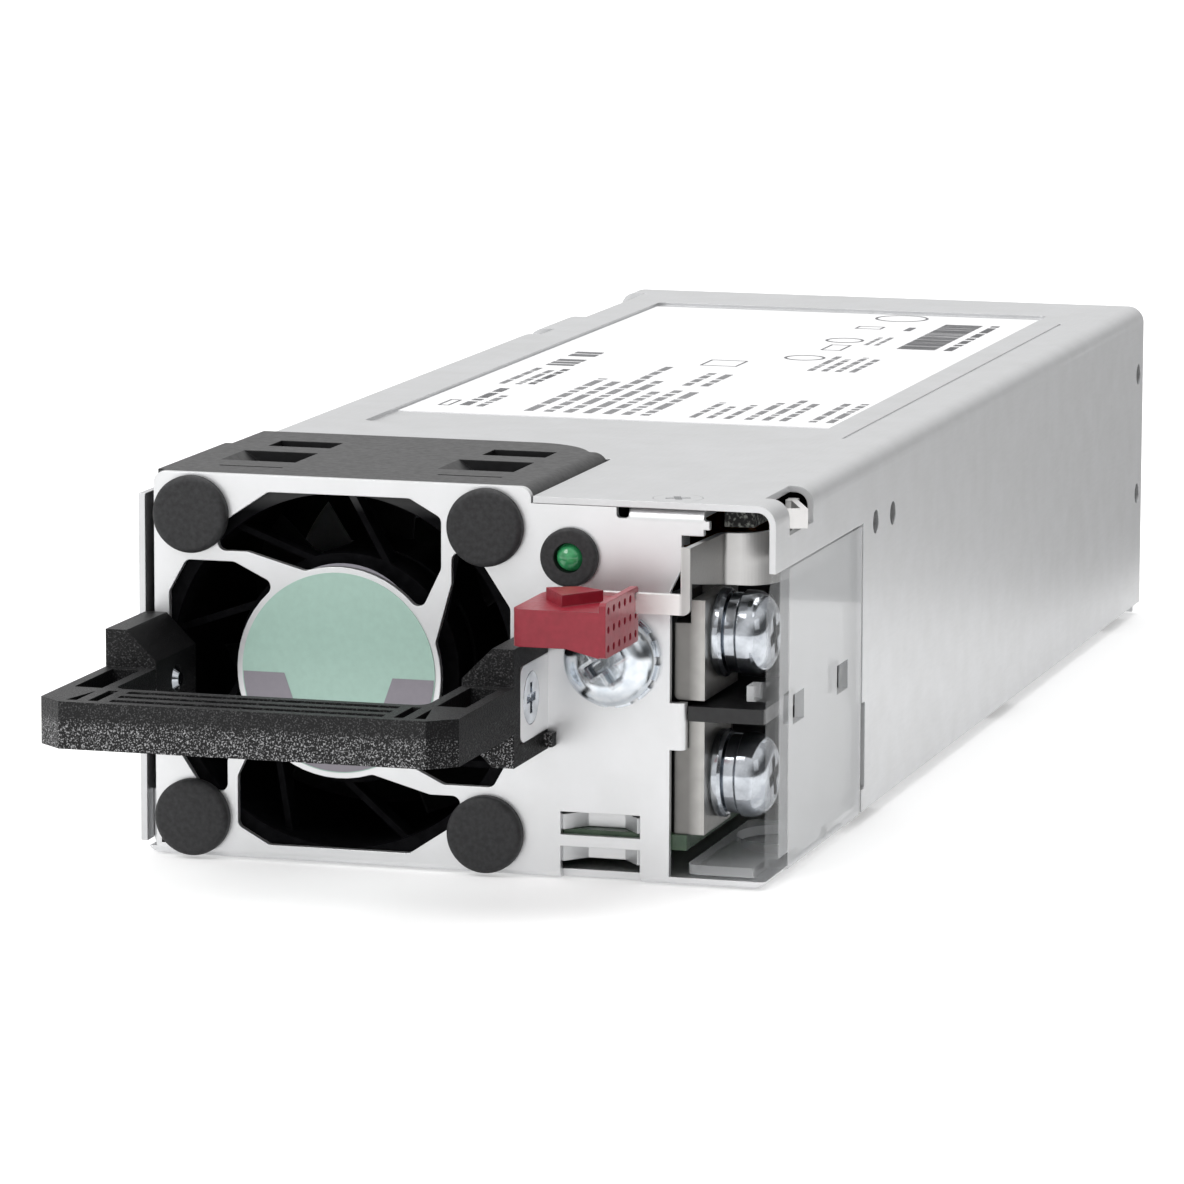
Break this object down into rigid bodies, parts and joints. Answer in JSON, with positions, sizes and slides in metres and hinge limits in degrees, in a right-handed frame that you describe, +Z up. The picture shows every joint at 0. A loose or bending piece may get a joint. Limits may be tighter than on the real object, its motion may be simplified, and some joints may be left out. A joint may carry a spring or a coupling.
{
  "type": "hot-swap server power supply",
  "caption": "Slim steel power module with a fan guard, carrying handle, red release tab, status light, screw terminals under a clear cover and a card edge at the rear.",
  "frame": {"origin": "middle of the tray's underside", "axes": "+Y from the front panel to the rear, +Z up, +X right seen from the front"},
  "size_m": [0.07, 0.227, 0.0405],
  "materials": {
    "galvanised_tray": "galvanised, satin",
    "galvanised_lid": "galvanised, satin",
    "spring_steel": "bright stainless",
    "zinc_screw": "blue zinc",
    "nickel": "nickel plated",
    "copper_nickel": "nickel plated copper",
    "black_plastic": "fine texture",
    "fan_plastic": "moulded",
    "rotor_plastic": "moulded",
    "rubber_black": "matt",
    "foam_black": "open cell",
    "red_plastic": "satin",
    "clear_plastic": "clear polycarbonate",
    "label_white": "printed film",
    "hub_print": "foil",
    "led_green": "translucent",
    "board_green": "solder mask",
    "gold": "gold plated",
    "bearing_bronze": "sintered",
    "copper_wound": "enamelled wire",
    "ferrite": "sintered",
    "aluminium_can": "satin",
    "heat_sink_metal": "extruded",
    "film": "polyester",
    "steel_plain": "turned"
  },
  "bodies": {
    "chassis": {"base_tray": "galvanised_tray", "lid": "galvanised_lid", "lid_screw": "zinc_screw", "lid_label": "label_white", "fan_frame": "fan_plastic", "fan_bearing": "bearing_bronze", "fan_stator": "copper_wound", "fan_bumpers": "rubber_black", "hub_label": "hub_print", "handle": "black_plastic", "handle_screws": "nickel", "foam_pad": "foam_black", "led_bezel": "black_plastic", "status_led": "led_green", "ground_screw": "zinc_screw", "ground_washer": "zinc_screw", "ground_nut": "zinc_screw", "terminal_bar_upper": "copper_nickel", "terminal_bar_lower": "copper_nickel", "terminal_block": "black_plastic", "terminal_screws": "nickel", "terminal_flat_washers": "nickel", "terminal_split_washers": "nickel", "main_board": "board_green", "card_edge_contacts": "gold", "standoffs": "steel_plain", "board_screws": "zinc_screw", "insulator_sheet": "film", "bulk_capacitors": "aluminium_can", "output_capacitors": "aluminium_can", "input_choke": "copper_wound", "transformer_core": "ferrite", "transformer_winding": "copper_wound", "output_choke": "copper_wound", "heat_sink_left": "heat_sink_metal", "heat_sink_right": "heat_sink_metal", "power_transistors": "black_plastic", "output_bus_bars": "copper_nickel", "control_board": "board_green", "fan_connector": "film"},
    "rotor": {"fan_rotor": "rotor_plastic", "fan_magnet": "ferrite", "fan_shaft": "steel_plain"},
    "latch": {"latch_tab": "red_plastic", "latch_spring": "spring_steel"},
    "cover": {"terminal_cover": "clear_plastic"}
  },
  "joints": [
    {"name": "fan_spin", "type": "hinge", "parent": "chassis", "child": "rotor", "pos_m": [-0.0124, -0.0709, 0.0202], "axis": [0, 1, 0], "continuous": true},
    {"name": "latch_press", "type": "hinge", "parent": "chassis", "child": "latch", "pos_m": [0.03255, -0.0639, 0.033], "axis": [0, 0, 1], "range_deg": [-2.8, 0], "stiffness_Nm_per_rad": 3},
    {"name": "cover_pull", "type": "slide", "parent": "chassis", "child": "cover", "axis": [1, 0, 0], "range_m": [0, 0.06]}
  ]
}
